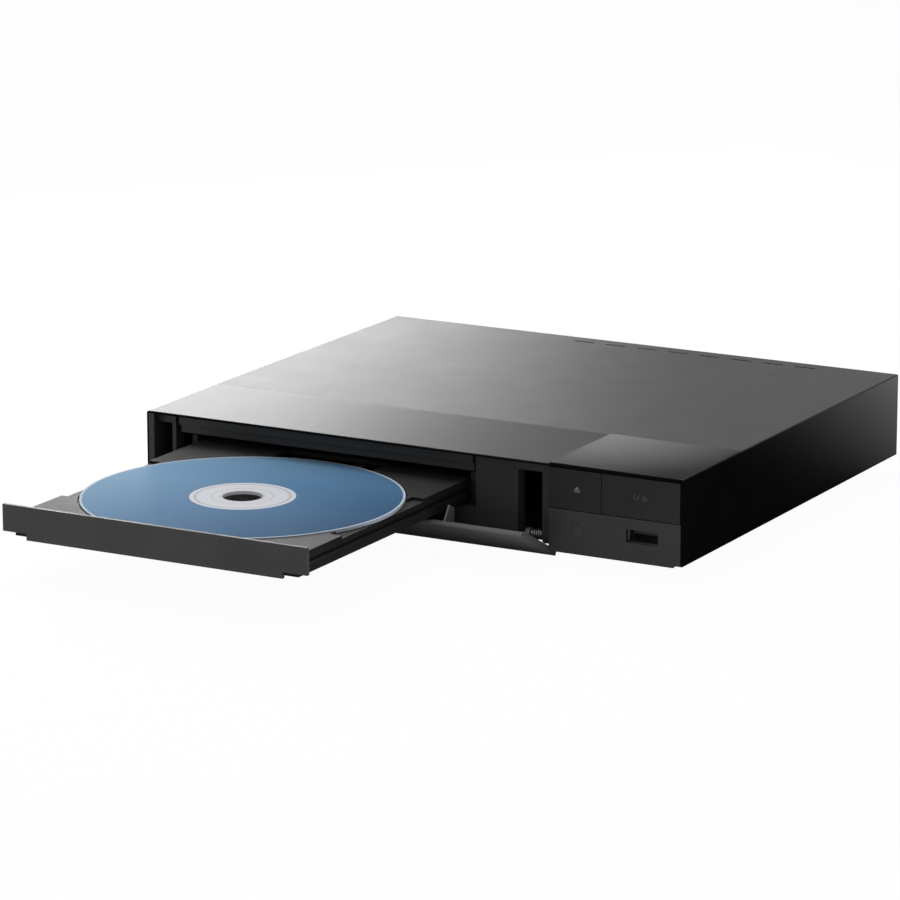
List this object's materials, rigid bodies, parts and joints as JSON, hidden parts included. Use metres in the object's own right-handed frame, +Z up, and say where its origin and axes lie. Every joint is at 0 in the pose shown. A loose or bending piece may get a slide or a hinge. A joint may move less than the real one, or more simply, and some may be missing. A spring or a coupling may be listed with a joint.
{
  "type": "disc player",
  "caption": "Flat disc player with its tray out and a disc on it: drop-down front flap, press keys, sockets, and inside the belt-driven loader, clamper, tilting traverse and optical sled.",
  "frame": {"origin": "middle of the footprint of the whole object with its tray out, at the level of the feet's soles", "axes": "+X to the right seen from the front, +Y from the front to the back, +Z up"},
  "size_m": [0.23, 0.3122, 0.039],
  "materials": {
    "cover_paint": "fine textured black paint",
    "corner_gloss": "smooth satin",
    "front_plastic": "fine matte",
    "flap_plastic": "matte",
    "key_plastic": "fine matte",
    "bezel_plastic": "matte",
    "tray_plastic": "grained",
    "disc_label": "printed label on clear plastic",
    "dark_window": "dark infrared window",
    "steel_sheet": "zinc plated",
    "socket_steel": "nickel plated",
    "rod_steel": "polished",
    "screw_steel": "black screws",
    "spring_steel": "bright wire",
    "rubber_black": "soft",
    "gear_plastic": "natural",
    "loader_plastic": "black moulding",
    "clamp_plastic": "black moulding",
    "magnet_grey": "sintered",
    "pickup_cast": "cast",
    "lens_glass": "coated",
    "board_green": "solder mask",
    "chip_black": "moulded",
    "sink_aluminium": "extruded",
    "can_aluminium": "sleeved can",
    "connector_plastic": "cream",
    "ribbon_plastic": "flat cable",
    "switch_plastic": "black"
  },
  "bodies": {
    "case": {"top_cover": "cover_paint", "corner_panel": "corner_gloss", "front_panel": "front_plastic", "remote_window": "dark_window", "remote_receiver": "chip_black", "bottom_chassis": "steel_sheet", "rear_panel": "steel_sheet", "feet": "rubber_black", "cover_screws": "screw_steel", "door_spring": "spring_steel", "front_board": "board_green", "tact_switches": "switch_plastic", "usb_socket": "socket_steel", "usb_tongue": "chip_black", "drive_belt": "rubber_black", "loading_motor": "steel_sheet", "loader_base": "loader_plastic", "loader_screws": "screw_steel", "clamp_bridge": "steel_sheet", "damper_bushes": "rubber_black", "main_board": "board_green", "board_screws": "screw_steel", "main_chip": "chip_black", "heat_sink": "sink_aluminium", "capacitors": "can_aluminium", "board_connectors": "connector_plastic", "loader_ribbon": "ribbon_plastic", "front_ribbon": "ribbon_plastic", "hdmi_socket": "socket_steel", "network_socket": "socket_steel", "audio_socket": "chip_black", "power_inlet": "chip_black", "wireless_board": "board_green"},
    "tray": {"tray": "tray_plastic", "tray_front": "bezel_plastic"},
    "disc": {"disc": "disc_label"},
    "door": {"tray_door": "flap_plastic"},
    "eject_key": {"eject_key": "key_plastic"},
    "power_key": {"power_key": "key_plastic"},
    "drive_gear": {"drive_gear": "gear_plastic"},
    "pulley_gear": {"pulley_gear": "gear_plastic"},
    "motor_pulley": {"motor_pulley": "gear_plastic"},
    "cam_slider": {"cam_slider": "gear_plastic"},
    "traverse": {"traverse_frame": "steel_sheet", "spindle_motor": "steel_sheet", "guide_rods": "rod_steel", "sled_motor": "steel_sheet"},
    "turntable": {"turntable": "clamp_plastic"},
    "pickup": {"optical_pickup": "pickup_cast", "objective_lens": "lens_glass"},
    "lead_screw": {"lead_screw": "rod_steel"},
    "clamper": {"clamper": "clamp_plastic", "clamper_magnet": "magnet_grey"}
  },
  "joints": [
    {"name": "tray_slide", "type": "slide", "parent": "case", "child": "tray", "axis": [0, -1, 0], "range_m": [-0.122, 0]},
    {"name": "disc_spin", "type": "hinge", "parent": "tray", "child": "disc", "pos_m": [-0.0382, -0.09435, 0.0257], "axis": [0, 0, 1], "continuous": true},
    {"name": "door_swing", "type": "hinge", "parent": "case", "child": "door", "pos_m": [-0.025, -0.03255, 0.009], "axis": [1, 0, 0], "range_deg": [0, 27], "stiffness_Nm_per_rad": 0.003, "springref_deg": -74.48},
    {"name": "eject_press", "type": "slide", "parent": "case", "child": "eject_key", "axis": [0, 1, 0], "range_m": [0, 0.0006], "stiffness_N_per_m": 400, "springref_m": -0.001},
    {"name": "power_press", "type": "slide", "parent": "case", "child": "power_key", "axis": [0, 1, 0], "range_m": [0, 0.0006], "stiffness_N_per_m": 400, "springref_m": -0.001},
    {"name": "drive_gear_spin", "type": "hinge", "parent": "case", "child": "drive_gear", "pos_m": [-0.081, -0.01435, 0.016], "axis": [0, 0, 1], "range_deg": [-1167, 0]},
    {"name": "pulley_gear_spin", "type": "hinge", "parent": "case", "child": "pulley_gear", "pos_m": [-0.0654, -0.01435, 0.016], "axis": [0, 0, 1], "range_deg": [0, 3885]},
    {"name": "motor_pulley_spin", "type": "hinge", "parent": "case", "child": "motor_pulley", "pos_m": [-0.0354, -0.01435, 0.018], "axis": [0, 0, 1], "range_deg": [0, 10985]},
    {"name": "traverse_lift", "type": "hinge", "parent": "case", "child": "traverse", "pos_m": [-0.0382, 0.11065, 0.016], "axis": [-1, 0, 0], "range_deg": [0, 3.5]},
    {"name": "cam_slide", "type": "slide", "parent": "case", "child": "cam_slider", "axis": [-1, 0, 0], "range_m": [0, 0.0141]},
    {"name": "turntable_spin", "type": "hinge", "parent": "traverse", "child": "turntable", "pos_m": [-0.0382, 0.0275, 0.01592], "axis": [0, -0.061, 0.9981], "continuous": true},
    {"name": "pickup_slide", "type": "slide", "parent": "traverse", "child": "pickup", "axis": [0, 0.9981, 0.061], "range_m": [0, 0.035]},
    {"name": "lead_screw_spin", "type": "hinge", "parent": "traverse", "child": "lead_screw", "pos_m": [-0.008, 0.06068, 0.01395], "axis": [0, 0.9981, 0.061], "range_deg": [0, 4201]},
    {"name": "clamper_spin", "type": "hinge", "parent": "case", "child": "clamper", "pos_m": [-0.0382, 0.02765, 0.031], "axis": [0, 0, 1], "continuous": true}
  ],
  "couplings": [
    {"joint": "drive_gear_spin", "follows": "tray_slide", "rad_per_m": 166.67},
    {"joint": "pulley_gear_spin", "follows": "tray_slide", "rad_per_m": -555.56},
    {"joint": "motor_pulley_spin", "follows": "tray_slide", "rad_per_m": -1571.3},
    {"joint": "cam_slide", "follows": "traverse_lift", "m_per_rad": 0.22918},
    {"joint": "lead_screw_spin", "follows": "pickup_slide", "rad_per_m": 2094.4}
  ]
}
